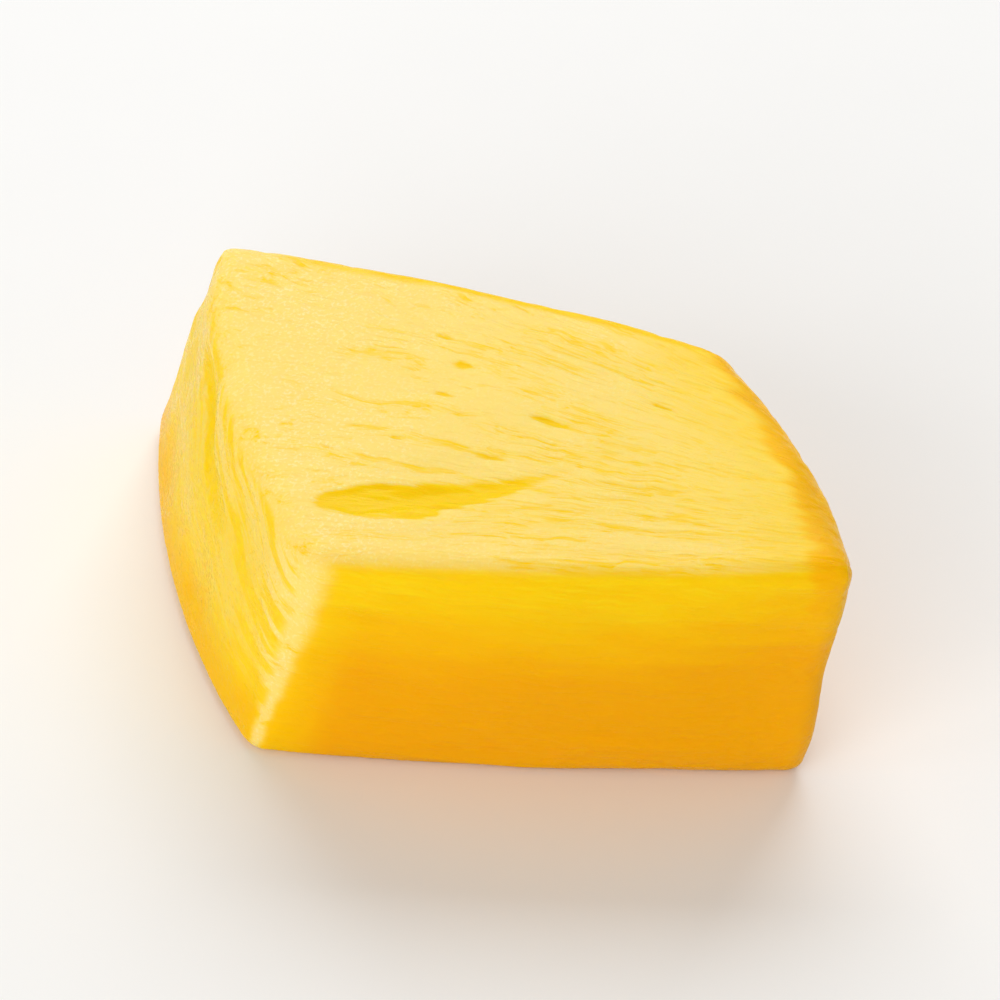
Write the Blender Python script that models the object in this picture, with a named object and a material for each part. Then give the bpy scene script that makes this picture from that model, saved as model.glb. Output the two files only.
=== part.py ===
"""A chunk of fresh pineapple, lying on one of its cut faces.

The chunk is a wedge of the ring of flesh between core and peel. Six knife strokes shape it: one flat
face underneath, one on top, one in front, one behind, one on the core side and one on the peel side,
where the face keeps the roundness of the fruit. The fibres run outwards from the core's axis, and the
relief of the flesh follows them.

+X points from the peel side to the core side, along the fibres. +Y points from the front cut to the
back cut. +Z is up. The origin is the centre of the block's box, on the face that it rests on.
"""

import itertools
import math

import bmesh
import bpy
import numpy as np

MM = 0.001
NODE = "pineapple_chunk"

# The height in the middle of the top cut, and how much that cut rises for each millimetre towards the core.
HEIGHT = 16.8
TOP_RISE = 0.035

# The upright cuts. Each has its distance from the middle, measured at the height of the top cut, the bearing
# of its outward side in degrees from +X, and its lean in degrees: above 0 the foot stands out further than
# the top edge, below 0 the top edge overhangs the foot. A bow is how far its middle stands out.
FRONT_CUT = {"distance": 16.1, "bearing": -93.4, "lean": -6.5}
BACK_CUT = {"distance": 7.95, "bearing": 67.7, "lean": 3.0, "bow": 0.6}
PEEL_CUT = {"distance": 13.5, "bearing": -169.3, "lean": 11.0}
CORE_CUT = {"distance": 13.35, "bearing": 20.0, "lean": -7.0, "bow": 1.4}

# Where the pineapple's own upright axis stands, from which every fibre starts, and the radius of the peel
# side, which is a little flatter than the fruit was. The fibres rise a little on their way out.
CORE_AXIS = (32.2, -2.2)
TRIMMED_RADIUS = 58.0
FIBRE_RISE = math.radians(4.0)

# Half the block's rough length, width and height: the frame in which its edges are rounded. The rounding is
# softer on the peel side and along the top of the core side, crisper at the foot, and varies by the given
# share along each edge.
HALF_SIZE = (15.0, 14.0, HEIGHT / 2)
EDGE_RADIUS = 1.2
PEEL_EDGE_RADIUS = 1.4
CORE_EDGE_RADIUS = 2.4
FOOT_EDGE_RADIUS = 0.9
EDGE_UNEVENNESS = 0.35
EDGE_WAVES = 2.5

# How far the middles of the top and front cuts stand out.
TOP_CROWN = 0.45
FRONT_CROWN = 0.35

# Uneven cutting: how far the cuts swell and sink, and over what distance. The core side is torn more finely.
# The foot stays level, and the unevenness grows between these two heights above it.
SWELL_DEPTH = 0.22
SWELL_LENGTH = 8.5
TORN_DEPTH = 0.12
TORN_LENGTH = 4.5
LEVEL_FOOT = (0.5, 3.0)

# The bundles of fibres: how proud one stands, how far it keeps its course, and how wide it is at the given
# distance from the core's axis.
BUNDLE_DEPTH = 0.12
BUNDLE_LENGTH = 16.0
BUNDLE_WIDTH = 1.5
MEASURED_AT = 32.0

# The slits between fruitlets that are open in the top cut. Each has its bearing from the core's axis in
# degrees, the distances from that axis between which it runs, its width, its depth and how far it bows.
TOP_SLITS = (
    (-12.0, 26.6, 43.8, 2.3, 0.50, 1.5),
    (10.0, 33.4, 37.2, 1.2, 0.25, 0.1),
    (4.8, 32.6, 36.2, 1.2, 0.25, 0.1),
    (0.5, 34.0, 37.2, 1.2, 0.20, 0.1),
    (-3.8, 26.6, 31.2, 1.2, 0.30, 0.3),
)

# The outline of a slit: above 1 the skew moves its widest point outwards, below 1 the fullness makes its ends
# blunter, and the taper is how much narrower it is at its ends.
SLIT_SKEW = 2.2
SLIT_FULLNESS = 0.7
SLIT_TAPER = 0.75

# The slits in the face underneath, drawn at random between these limits.
FOOT_SLITS = 8
FOOT_SLIT_BEARING = (-16.0, 10.0)
FOOT_SLIT_INNER = (24.0, 38.0)
FOOT_SLIT_LENGTH = (3.5, 7.0)
FOOT_SLIT_WIDTH = (1.2, 1.8)
FOOT_SLIT_DEPTH = (0.3, 0.7)
FOOT_SLIT_BOW = 0.2

# The slanting slit between two rows of fruitlets in the peel side, from one end to the other along Y and
# upwards, and the hollows that the trimmed eyes left there, in rows that are shifted by half their spacing.
PEEL_SLIT_FROM = (8.5, 14.8)
PEEL_SLIT_TO = (-5.8, 10.0)
PEEL_SLIT_WIDTH = 2.0
PEEL_SLIT_DEPTH = 0.45
EYE_SPACING = (11.0, 9.0)
EYE_CENTRE = (-2.2, 4.4)
EYE_RADIUS = 2.8
EYE_DEPTH = 0.35

# The seed of each random draw, and how many random values a field has in each direction before it repeats.
SWELL_SEED = 3
TORN_SEED = 5
BUNDLE_SEED = 7
EDGE_SEED = 9
FOOT_SLIT_SEED = 11
LATTICE = 48

# The rows of faces along the fibres, across them and upwards, and how far each set crowds towards the edges.
ROWS = (28, 42, 20)
ROW_CROWDING = (0.62, 0.3, 0.4)

FLESH_COLOUR = (0.98, 0.64, 0.05, 1.0)
FLESH_ROUGHNESS = 0.38


def clear_scene():
    """Removes whatever the file opened with."""
    for obj in list(bpy.data.objects):
        bpy.data.objects.remove(obj)


def smoothstep(low, high, values):
    """0 below low, 1 above high, and an even curve between them."""
    share = np.clip((values - low) / (high - low), 0.0, 1.0)
    return share * share * (3.0 - 2.0 * share)


def lattice_noise(places, seed):
    """A smooth random field from -1 to 1: random values on a whole-number lattice, blended in between."""
    table = np.random.default_rng(seed).uniform(-1.0, 1.0, (LATTICE,) * 3)
    cell = np.floor(places).astype(int)
    share = places - cell
    share = share * share * (3.0 - 2.0 * share)
    total = np.zeros(len(places))
    for corner in itertools.product((0, 1), repeat=3):
        x, y, z = ((cell + corner) % LATTICE).T
        total += table[x, y, z] * np.where(corner, share, 1.0 - share).prod(axis=1)
    return total


def upright_cut(cut):
    """(outward normal, offset) of an upright knife cut: a point p is on it where normal . p = offset."""
    bearing, lean = math.radians(cut["bearing"]), math.radians(cut["lean"])
    outward = np.array((math.cos(bearing), math.sin(bearing), 0.0))
    normal = outward * math.cos(lean) + np.array((0.0, 0.0, math.sin(lean)))
    return normal, normal @ (outward * cut["distance"] + np.array((0.0, 0.0, HEIGHT)))


def block_corners():
    """The eight corners where three cuts meet, indexed [peel or core][front or back][foot or top]."""
    floor = (np.array((0.0, 0.0, -1.0)), 0.0)
    top = (np.array((-TOP_RISE, 0.0, 1.0)), HEIGHT)
    corners = np.empty((2, 2, 2, 3))
    ends = (PEEL_CUT, CORE_CUT)
    sides = (FRONT_CUT, BACK_CUT)
    for i, j, k in itertools.product((0, 1), repeat=3):
        cuts = (upright_cut(ends[i]), upright_cut(sides[j]), (floor, top)[k])
        corners[i, j, k] = np.linalg.solve([c[0] for c in cuts], [c[1] for c in cuts])
    return corners


def edge_radius(block):
    """The rounding of the edges at each place of the block, which varies as described above."""
    radius = EDGE_RADIUS + (PEEL_EDGE_RADIUS - EDGE_RADIUS) * smoothstep(0.2, 0.9, -block[:, 0])
    core_top = smoothstep(0.2, 0.9, block[:, 0]) * smoothstep(0.0, 0.8, block[:, 2])
    core_top *= 1.0 - block[:, 1] ** 4
    radius += (CORE_EDGE_RADIUS - EDGE_RADIUS) * core_top
    radius += (FOOT_EDGE_RADIUS - EDGE_RADIUS) * smoothstep(0.2, 0.9, -block[:, 2])
    return radius * (1.0 + EDGE_UNEVENNESS * lattice_noise(block * EDGE_WAVES, EDGE_SEED))


def rounded(block):
    """Block places, each from -1 to 1, moved onto a box with rounded edges.

    A place is pulled back to a smaller box, and then pushed out from there by the edge radius.
    """
    half = np.array(HALF_SIZE)
    place = block * half
    radius = edge_radius(block)[:, None]
    inner = np.clip(place, radius - half, half - radius)
    away = place - inner
    length = np.linalg.norm(away, axis=1, keepdims=True)
    return (inner + away * radius / np.maximum(length, 1e-9)) / half


def peel_bulge(share, chord):
    """How far the peel side's round stands out from a straight cut of length chord, from -1 to 1 along it."""
    half = chord / 2
    return np.sqrt(TRIMMED_RADIUS**2 - (share * half) ** 2) - math.sqrt(TRIMMED_RADIUS**2 - half**2)


def shaped(block):
    """Places of the smooth chunk in millimetres: its eight corners blended in three directions, and then the
    peel side and the middles of the top and front cuts swelled out."""
    box = rounded(block)
    share = (box + 1.0) / 2
    corners = block_corners()
    place = np.zeros((len(block), 3))
    for i, j, k in itertools.product((0, 1), repeat=3):
        chosen = np.where((i, j, k), share, 1.0 - share).prod(axis=1)
        place += chosen[:, None] * corners[i, j, k]
    chord = np.linalg.norm(corners[0, 1, 1] - corners[0, 0, 1])
    outward, _ = upright_cut(PEEL_CUT)
    place += (peel_bulge(box[:, 1], chord) * (1.0 - share[:, 0]))[:, None] * outward * (1, 1, 0)
    for cut, along, nearness in ((BACK_CUT, box[:, 0], share[:, 1]), (CORE_CUT, box[:, 1], share[:, 0])):
        outward, _ = upright_cut(cut)
        place += (cut["bow"] * (1.0 - along**2) * nearness)[:, None] * outward * (1, 1, 0)
    place[:, 2] += TOP_CROWN * (1.0 - box[:, 0] ** 2) * (1.0 - box[:, 1] ** 2) * share[:, 2]
    place[:, 1] -= FRONT_CROWN * (1.0 - box[:, 0] ** 2) * (1.0 - box[:, 2] ** 2) * (1.0 - share[:, 1])
    return place


def along_fibres(place):
    """(across, up, out) of each place in millimetres: the arc across the fibres, the height above the fibre
    that starts level with the foot, and the distance from the core's axis."""
    west, north = CORE_AXIS[0] - place[:, 0], place[:, 1] - CORE_AXIS[1]
    out = np.hypot(west, north)
    across = np.arctan2(north, west) * MEASURED_AT
    up = place[:, 2] - out * math.tan(FIBRE_RISE)
    return across, up, out


def slit(across, out, one):
    """The depth of a slit at each place: a lens, widest near its outer end, that tapers towards the core."""
    bearing, inner, outer, width, depth, bow = one
    share = np.clip((out - inner) / (outer - inner), 0.0, 1.0)
    lens = np.sin(math.pi * share**SLIT_SKEW) ** SLIT_FULLNESS
    middle = math.radians(bearing) * MEASURED_AT - bow * np.sin(math.pi * share)
    gap = (across - middle) * out / MEASURED_AT
    half = width / 2 * (1.0 - SLIT_TAPER * (1.0 - lens))
    return depth * lens * np.exp(-((gap / half) ** 2))


def foot_slits():
    """The slits in the face underneath, laid out like TOP_SLITS."""
    draw = np.random.default_rng(FOOT_SLIT_SEED)
    found = []
    for _ in range(FOOT_SLITS):
        bearing = draw.uniform(*FOOT_SLIT_BEARING)
        inner = draw.uniform(*FOOT_SLIT_INNER)
        outer = inner + draw.uniform(*FOOT_SLIT_LENGTH)
        width = draw.uniform(*FOOT_SLIT_WIDTH)
        depth = draw.uniform(*FOOT_SLIT_DEPTH)
        found.append((bearing, inner, outer, width, depth, FOOT_SLIT_BOW))
    return found


def peel_relief(place):
    """How deep the peel side is hollowed: one slanting slit, and round hollows in a staggered pattern."""
    start, run = np.array(PEEL_SLIT_FROM), np.subtract(PEEL_SLIT_TO, PEEL_SLIT_FROM)
    share = np.clip((place[:, 1:] - start) @ run / (run @ run), 0.0, 1.0)
    gap = np.linalg.norm(place[:, 1:] - start - share[:, None] * run, axis=1)
    groove = PEEL_SLIT_DEPTH * np.sin(math.pi * share) * np.exp(-((gap / (PEEL_SLIT_WIDTH / 2)) ** 2))
    row = (place[:, 2] - EYE_CENTRE[1]) / EYE_SPACING[1]
    column = (place[:, 1] - EYE_CENTRE[0]) / EYE_SPACING[0] + (np.round(row) % 2) / 2
    beside = (column - np.round(column)) * EYE_SPACING[0]
    above = (row - np.round(row)) * EYE_SPACING[1]
    eyes = EYE_DEPTH * np.exp(-((np.hypot(beside, above) / EYE_RADIUS) ** 4))
    return groove + eyes


def relief(block, place):
    """How far the flesh stands out from the smooth chunk at each place, in millimetres.

    Above the foot the cuts swell and sink, the core side is torn, and the bundles stand proud. In the face
    underneath there are only slits, so that the rest of it stays flat.
    """
    across, up, out = along_fibres(place)
    above_foot = smoothstep(*LEVEL_FOOT, place[:, 2])
    on_top = smoothstep(0.75, 1.0, block[:, 2])
    below = smoothstep(0.75, 1.0, -block[:, 2])
    on_peel = smoothstep(0.7, 1.0, -block[:, 0])
    on_core = smoothstep(0.6, 1.0, block[:, 0])

    height = SWELL_DEPTH * lattice_noise(place / SWELL_LENGTH, SWELL_SEED)
    height += TORN_DEPTH * on_core * lattice_noise(place / TORN_LENGTH, TORN_SEED)
    course = np.column_stack((across / BUNDLE_WIDTH, up / BUNDLE_WIDTH, out / BUNDLE_LENGTH))
    height += BUNDLE_DEPTH * (0.5 - np.abs(lattice_noise(course, BUNDLE_SEED)))
    height -= on_peel * peel_relief(place)
    height *= above_foot
    for one in TOP_SLITS:
        height -= on_top * slit(across, out, one)
    for one in foot_slits():
        height -= below * slit(across, out, one)
    return height


def crowded(rows, crowding):
    """A function that moves evenly spaced rows, from -1 to 1, closer together at both ends."""
    return (1.0 - crowding) * rows + crowding * np.sin(math.pi / 2 * rows)


def block_mesh():
    """A cube from -1 to 1 as a bmesh, cut into ROWS of faces along its three directions."""
    mesh = bmesh.new()
    bmesh.ops.create_cube(mesh, size=2.0)
    for axis, rows in enumerate(ROWS):
        parallel = [e for e in mesh.edges if abs(e.verts[0].co[axis] - e.verts[1].co[axis]) > 1.0]
        bmesh.ops.subdivide_edges(mesh, edges=parallel, cuts=rows - 1, use_grid_fill=True)
    return mesh


def flesh_material():
    """Moist yellow fruit flesh."""
    material = bpy.data.materials.new("pineapple_flesh")
    material.use_nodes = True
    shader = material.node_tree.nodes["Principled BSDF"]
    shader.inputs["Base Color"].default_value = FLESH_COLOUR
    shader.inputs["Roughness"].default_value = FLESH_ROUGHNESS
    shader.inputs["Metallic"].default_value = 0.0
    material.diffuse_color = FLESH_COLOUR
    return material


def place_all(mesh, places):
    """Moves the vertices of a bmesh, in their order, to places in millimetres."""
    for vertex, place in zip(mesh.verts, places * MM):
        vertex.co = place
    mesh.normal_update()


def add_chunk():
    """The chunk as one closed solid: a cut-up cube, shaped, then moved along its normals by the relief."""
    mesh = block_mesh()
    block = np.array([vertex.co for vertex in mesh.verts])
    for axis, crowding in enumerate(ROW_CROWDING):
        block[:, axis] = crowded(block[:, axis], crowding)
    smooth = shaped(block)
    place_all(mesh, smooth)
    normals = np.array([vertex.normal for vertex in mesh.verts])
    places = smooth + relief(block, smooth)[:, None] * normals
    places[:, 2] = np.maximum(places[:, 2], 0.0)
    middle = (places.min(axis=0) + places.max(axis=0)) / 2
    place_all(mesh, places - middle * (1.0, 1.0, 0.0))

    data = bpy.data.meshes.new(NODE)
    mesh.to_mesh(data)
    mesh.free()
    data.shade_smooth()
    data.materials.append(flesh_material())
    chunk = bpy.data.objects.new(NODE, data)
    bpy.context.scene.collection.objects.link(chunk)
    return chunk


def main():
    clear_scene()
    add_chunk()


main()
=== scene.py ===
"""One chunk of fresh pineapple: its cut faces, fibres, slits and moist yellow flesh.

The file is laid out as an add-on. Its sizes are in metres and its angles in radians, with +X along the fibres
from the peel side to the core side, +Y from the front cut to the back cut, and +Z up.
"""

import itertools
import math

import bpy
import numpy as np
from bpy.props import FloatProperty, FloatVectorProperty, IntVectorProperty, PointerProperty
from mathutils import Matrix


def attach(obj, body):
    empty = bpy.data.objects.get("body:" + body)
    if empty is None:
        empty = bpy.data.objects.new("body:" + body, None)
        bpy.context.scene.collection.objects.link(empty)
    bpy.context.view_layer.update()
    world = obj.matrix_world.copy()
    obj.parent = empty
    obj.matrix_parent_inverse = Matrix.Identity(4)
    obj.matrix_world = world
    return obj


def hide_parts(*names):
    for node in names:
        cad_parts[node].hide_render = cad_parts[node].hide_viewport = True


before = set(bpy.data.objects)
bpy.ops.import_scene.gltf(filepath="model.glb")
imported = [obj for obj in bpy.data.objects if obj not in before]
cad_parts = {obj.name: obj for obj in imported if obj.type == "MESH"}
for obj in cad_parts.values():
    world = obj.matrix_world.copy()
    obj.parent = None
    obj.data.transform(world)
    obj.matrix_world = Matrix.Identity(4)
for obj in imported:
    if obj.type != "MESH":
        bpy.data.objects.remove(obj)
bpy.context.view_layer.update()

bl_info = {
    "name": "Pineapple chunk",
    "version": (1, 0, 0),
    "blender": (4, 5, 0),
    "location": "3D View > Sidebar > Pineapple",
    "description": "Builds one chunk of fresh pineapple from its cuts, fibres and slits",
    "category": "Add Mesh",
}

MM = 0.001
NODE = "pineapple_chunk"
BODY = "root"
# The first of these looks is the pale of cut fibre together with a painted highlight where the surface faces
# up, and the last is painted shade: deeper lower down, along the core side and in the slit of the peel side.
ATTRIBUTES = ("cut_and_lit", "peel", "raised", "hollow", "painted_shade")

# How many random values a field has in each direction before it repeats, the gain of the finer kind of field,
# and the seed of each.
LATTICE = 48
GAIN = 1.6
EDGE_SEED = 9
SWELL_SEED = 3
TORN_SEED = 5
BUNDLE_SEED = 7
FOOT_SLIT_SEED = 11
MEANDER_SEED = 21
STAGGER_SEED = 22
FIBRE_SEED = 23
RAGGED_SEED = 24
NICK_SEED = 25
PIT_SEED = 26
FURROW_SEED = 27

# The slits between fruitlets that are open in the top cut: a long one, which points to the core's axis, and
# short ones along the fibres. Each has its bearing from its axis in degrees and, in millimetres, the
# distances from that axis between which it runs, its width, its depth and how far it bows.
LONG_SLIT = (-10.4, 26.0, 43.9, 2.3, 0.34, 1.05)
SHORT_SLITS = (
    (26.3, 45.2, 47.7, 0.65, 0.16, 0.0),
    (28.7, 47.6, 49.9, 0.40, 0.12, 0.0),
    (22.7, 45.2, 47.6, 0.45, 0.14, 0.0),
    (22.8, 37.5, 41.5, 0.55, 0.20, 0.2),
    (17.4, 46.8, 48.7, 0.38, 0.10, 0.0),
    (17.2, 39.6, 43.8, 0.40, 0.12, 0.0),
    (28.8, 32.9, 35.8, 0.38, 0.12, 0.0),
    (11.0, 41.3, 45.1, 0.38, 0.12, 0.0),
)

# The slits in the face underneath, which point to the core's axis, drawn at random between these limits.
FOOT_SLITS = 8
FOOT_SLIT_LIMITS = ((-16.0, 10.0), (24.0, 38.0), (3.5, 7.0), (1.2, 1.8), (0.3, 0.7))
FOOT_SLIT_BOW = 0.2

# The outline of a slit: above 1 the skew moves its widest point outwards, below 1 the fullness makes its ends
# blunter, the taper is how much narrower it is at its ends, and a higher steepness makes its walls steeper.
SLIT_SKEW = 2.2
SLIT_FULLNESS = 0.8
SLIT_TAPER = 0.75
SLIT_STEEPNESS = 2.4

# Where the raised rim of a slit runs and how far it reaches, in half widths of the slit.
LIP_AT = 1.5
LIP_REACH = 0.45

# How far each side of the block reaches: 0 in the middle of the block, 1 on the side itself. At the two ends
# the fibres are cut across, and END_BUNDLES is how proud their bundles still stand there.
TOP_REACH = (0.75, 1.0)
FOOT_REACH = (0.75, 1.0)
PEEL_REACH = (0.7, 1.0)
CORE_REACH = (0.6, 1.0)
ENDS_REACH = (0.88, 0.98)
EDGE_REACH = (0.9, 0.98)
END_BUNDLES = 0.35

# Where on the block the rounding of its edges changes from that of one side to that of the next.
SIDE_BLEND = (0.2, 0.9)
TOP_BLEND = (0.0, 0.8)

# The ranges of the random fields over which a pit and a nick deepen.
PIT_RANGE = (0.1, 0.7)
NICK_RANGE = (0.15, 0.75)

# How level the surface is where it turns from juicy to pale, above and underneath, and how much of the
# paleness the face underneath has. Above, the paleness is the pale of freshly cut fibre together with a
# painted highlight of the light from above. FACING_PEEL is how far a place faces the peel side.
CUT_AND_LIT_TOP = (0.4, 0.97)
FRESH_FOOT = (0.96, 1.0)
FOOT_PALENESS = 0.5
FACING_PEEL = (0.3, 0.85)

# The strips of the top that are painted deeper and less pale: one along the core side, painted shade where
# the top turns away from the light, where it starts and how wide it fades in, one along the back cut, its
# width and how much wider it gets, and the slow fade of the paleness before the first.
RIM_START = 0.80
RIM_SLANT = 0.02
RIM_FADE = 0.10
BACK_WIDTH = 0.11
BACK_WIDENING = 0.04
BACK_WIDENS = (-0.6, 0.8)
BACK_FADE = 0.05
BACK_BEGINS = (-0.85, -0.55)
NEAR_RIM = (0.45, 0.85)
NEAR_RIM_FADE = 0.6

# The painted highlights along the upright edges of the peel side: how far they reach along the fibres and
# across them, at the foot and how much further at the top.
HIGHLIGHT_ALONG = (0.05, 0.10)
HIGHLIGHT_ACROSS = (0.05, 0.30)
FULL_HEIGHT = 16.0 * MM

# The peel side is painted paler above the first range of heights, and more so over the second: a painted
# highlight of the light from above.
PEEL_LIT_FROM = (3.0 * MM, 7.0 * MM)
PEEL_LIT_MORE = (9.0 * MM, 16.5 * MM)
PEEL_LIT = 0.27
PEEL_LIT_FURTHER = 0.38

# Painted shade, deeper the lower a place is, by height on the cuts and on the peel side, with its share on
# the peel side and the extra on the core side. The first part of the front cut next to the peel side has less
# of it.
SHADE_ON_CUTS = (17.5 * MM, 6.0 * MM)
SHADE_ON_PEEL = (7.0 * MM, 1.0 * MM)
PEEL_SHADE = 0.55
CORE_SHADE = 0.3
LESS_SHADE_ALONG = (0.32, 0.06)
LESS_SHADE_FRONT = (0.85, 1.0)
LESS_SHADE_BY = 0.6

# How far the limits of the painted paleness and the painted shade are ragged, in heights, on the cuts and on
# the peel side.
RAGGED_CUTS = 1.2 * MM
RAGGED_PEEL = 0.8 * MM

# The noises of the material, each with its width, its length along the fibres and its detail: strands of
# fibrils, and hairs, which are the finest lines. Those of even grain have a size and their detail.
STRANDS = (0.9 * MM, 11.0 * MM, 3.0)
FIBRILS = (0.3 * MM, 3.6 * MM, 2.0)
HAIRS = (0.13 * MM, 2.2 * MM, 1.0)
GRAIN = (0.2 * MM, 3.0)
PATCHES = (6.0 * MM, 2.0)
WANDERING = (3.5 * MM, 2.0)
WANDER_REACH = 1.1 * MM
FRUITLET_ROWS = (5.0 * MM, 9.0 * MM, 0.8 * MM)
ROW_DETAIL = 4.0

# The distances from the core's axis over which the top gets less juicy, then more flecked with pale painted
# glints, and over which the dense flesh near the core ends.
LESS_JUICY = (26.0 * MM, 43.0 * MM)
MORE_FLECKS = (32.0 * MM, 44.0 * MM)
NEAR_CORE = (18.0 * MM, 27.0 * MM)

# How far light travels under the surface, red, green and blue, and the distance that 1 stands for.
LIGHT_TRAVEL = (1.0, 0.5, 0.1)
TRAVEL_UNIT = 2.2 * MM
BUMP_DEPTH = 0.2 * MM

# The floor's mottle, its size and its detail, and how much darker its darkest spots are.
MOTTLE = (8.0 * MM, 3.0)
MOTTLE_SHADE = 0.985

# The lights, each with its name, place, size, power in watts and tint.
LIGHTS = (
    ("back_softbox", (0.04, 0.47, 0.48), (0.55, 0.42), 3.06, (1.0, 1.0, 1.0)),
    ("front_fill", (-0.30, -0.55, 0.30), (0.6, 0.5), 2.35, (1.0, 0.97, 0.93)),
    ("left_strip", (-0.55, -0.16, 0.16), (0.12, 0.36), 0.31, (1.0, 1.0, 1.0)),
)


def length(name, description, millimetres):
    """A size as a property, stored in metres."""
    return FloatProperty(
        name=name, description=description, default=millimetres * MM, unit="LENGTH", precision=5
    )


def angle(name, description, degrees):
    """A bearing or a lean as a property, stored in radians."""
    return FloatProperty(
        name=name, description=description, default=math.radians(degrees), subtype="ANGLE"
    )


def share(name, description, default):
    """A part of a whole as a property."""
    return FloatProperty(name=name, description=description, default=default, min=0.0, max=1.0)


def plain_number(name, description, default):
    """A plain number as a property."""
    return FloatProperty(name=name, description=description, default=default)


def colour(name, description, default):
    """A linear colour as a property."""
    return FloatVectorProperty(
        name=name, description=description, default=default, size=3, subtype="COLOR", min=0.0, max=1.0
    )


class ChunkCuts(bpy.types.PropertyGroup):
    """Where the knife went: a level foot, a top that rises to the core, and four upright cuts."""

    height: length("Height", "Height of the top cut in the middle", 16.8)
    top_rise: plain_number("Top rise", "Rise of the top cut towards the core", 0.035)
    front_distance: length("Front distance", "From the middle to the front cut, at the top", 15.55)
    front_bearing: angle("Front bearing", "Direction that the front cut faces, from +X", -93.4)
    front_lean: angle("Front lean", "How far the front cut slopes out towards its foot", -6.0)
    front_bow: length("Front bow", "How far the middle of the front cut stands out", 0.6)
    back_distance: length("Back distance", "From the middle to the back cut, at the top", 7.95)
    back_bearing: angle("Back bearing", "Direction that the back cut faces, from +X", 67.7)
    back_lean: angle("Back lean", "How far the back cut slopes out towards its foot", 3.0)
    back_bow: length("Back bow", "How far the middle of the back cut stands out", 0.6)
    peel_distance: length("Peel distance", "From the middle to the peel side, at the top", 13.5)
    peel_bearing: angle("Peel bearing", "Direction that the peel side faces, from +X", -169.3)
    peel_lean: angle("Peel lean", "How far the peel side slopes out towards its foot", 11.0)
    core_distance: length("Core distance", "From the middle to the core side, at the top", 13.5)
    core_bearing: angle("Core bearing", "Direction that the core side faces, from +X", 20.0)
    core_lean: angle("Core lean", "How far the core side slopes out towards its foot", -7.0)
    core_bow: length("Core bow", "How far the middle of the core side stands out", 1.4)
    trimmed_radius: length("Trimmed radius", "Radius of the round of the peel side", 58.0)
    top_crown: length("Top crown", "How far the middle of the top cut stands out", 0.45)
    front_crown: length("Front crown", "How far the middle of the front cut stands out half way up", 0.35)


class ChunkEdges(bpy.types.PropertyGroup):
    """How the edges between the cuts are rounded, nicked and worn."""

    half_size: FloatVectorProperty(
        name="Half size",
        description="Half the rough length, width and height, in which the edges are rounded",
        default=(15.0 * MM, 14.0 * MM, 8.4 * MM),
        unit="LENGTH",
    )
    radius: length("Radius", "Rounding of an ordinary edge", 1.2)
    peel_radius: length("Peel radius", "Rounding of the edges round the peel side", 1.4)
    core_radius: length("Core radius", "Rounding of the edge between the top and the core side", 2.4)
    foot_radius: length("Foot radius", "Rounding of the edges round the foot", 0.9)
    unevenness: share("Unevenness", "How much the rounding varies along an edge", 0.35)
    waves: plain_number("Waves", "How often the rounding varies along an edge", 2.5)
    nick_depth: length("Nick depth", "How deep the crumbled places along the edges are", 0.07)
    nick_length: length("Nick length", "How long a crumbled place is", 1.3)


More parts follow.
